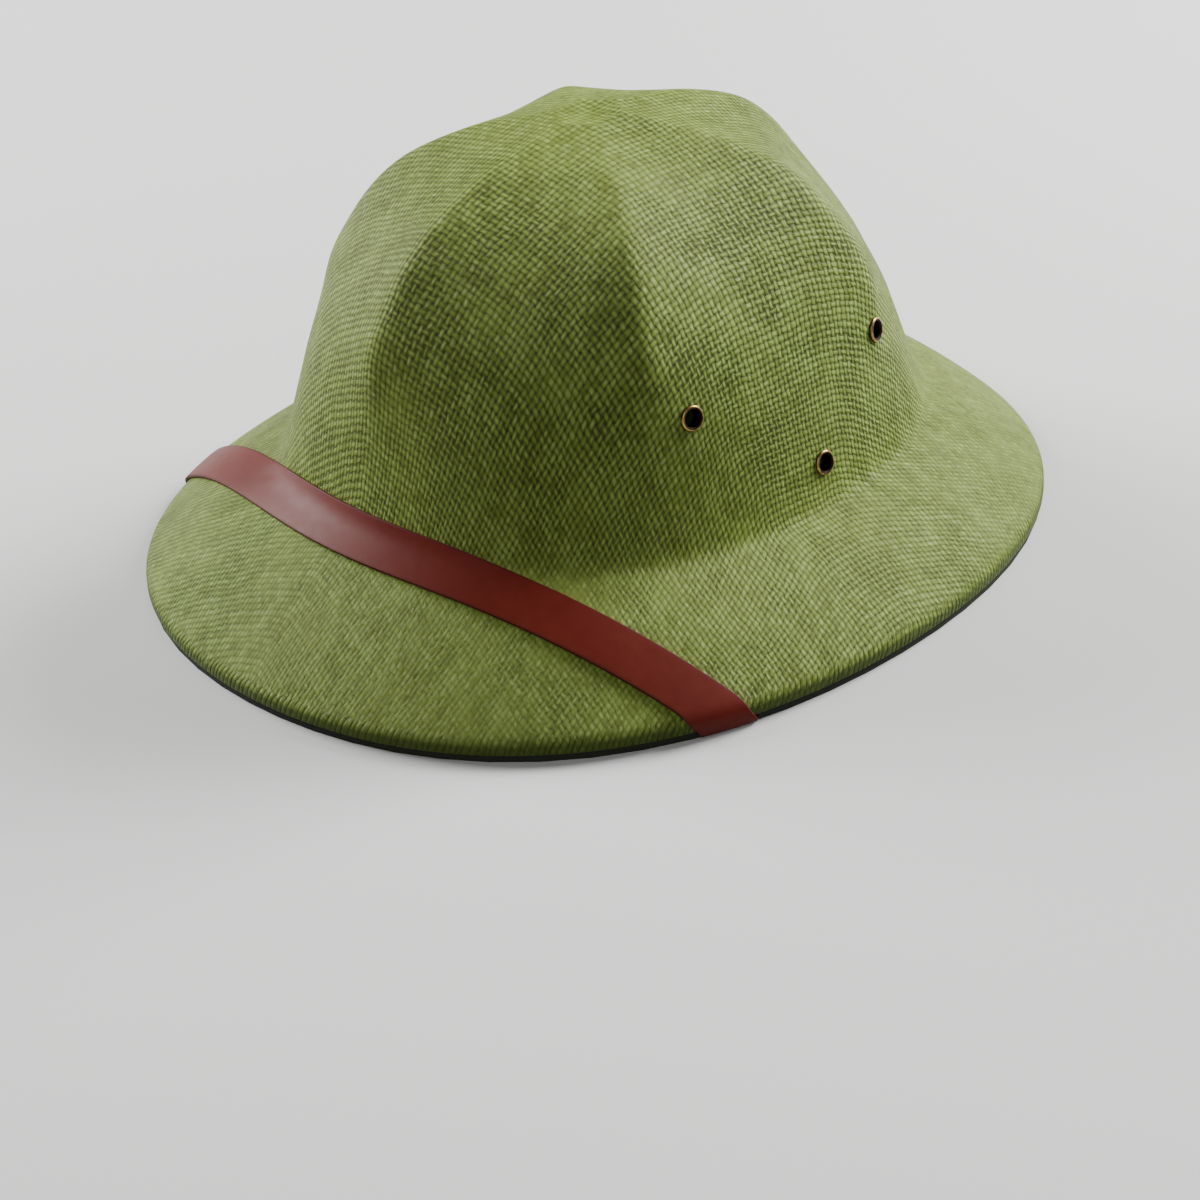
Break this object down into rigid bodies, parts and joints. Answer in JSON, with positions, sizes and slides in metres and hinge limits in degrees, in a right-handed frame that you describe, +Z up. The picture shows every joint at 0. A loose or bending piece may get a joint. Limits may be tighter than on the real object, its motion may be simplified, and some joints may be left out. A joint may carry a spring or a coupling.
{
  "type": "pith helmet",
  "caption": "Woven straw pith helmet with a ridged, hollow-panelled crown, a broad sloping brim, a leather strap across the front and brass vent eyelets in its sides.",
  "frame": {"origin": "the middle of the object's box, on the surface that the rim rests on", "axes": "+Z up through the crown, -Y towards the front with the strap, +X towards the wearer's left"},
  "size_m": [0.289, 0.335, 0.158],
  "materials": {
    "straw": "woven straw, dyed olive green, matt with a slight sheen on the worn yarns",
    "welting": "dark folded cloth edge, matt",
    "leather": "smooth reddish brown leather with a soft gloss",
    "brass": "aged brass"
  },
  "bodies": {
    "root": {"woven_shell": "straw", "edge_welt": "welting", "front_strap": "leather", "eyelet_left_front": "brass", "eyelet_left_low": "brass", "eyelet_left_back": "brass", "eyelet_right_front": "brass", "eyelet_right_low": "brass", "eyelet_right_back": "brass"}
  },
  "joints": []
}
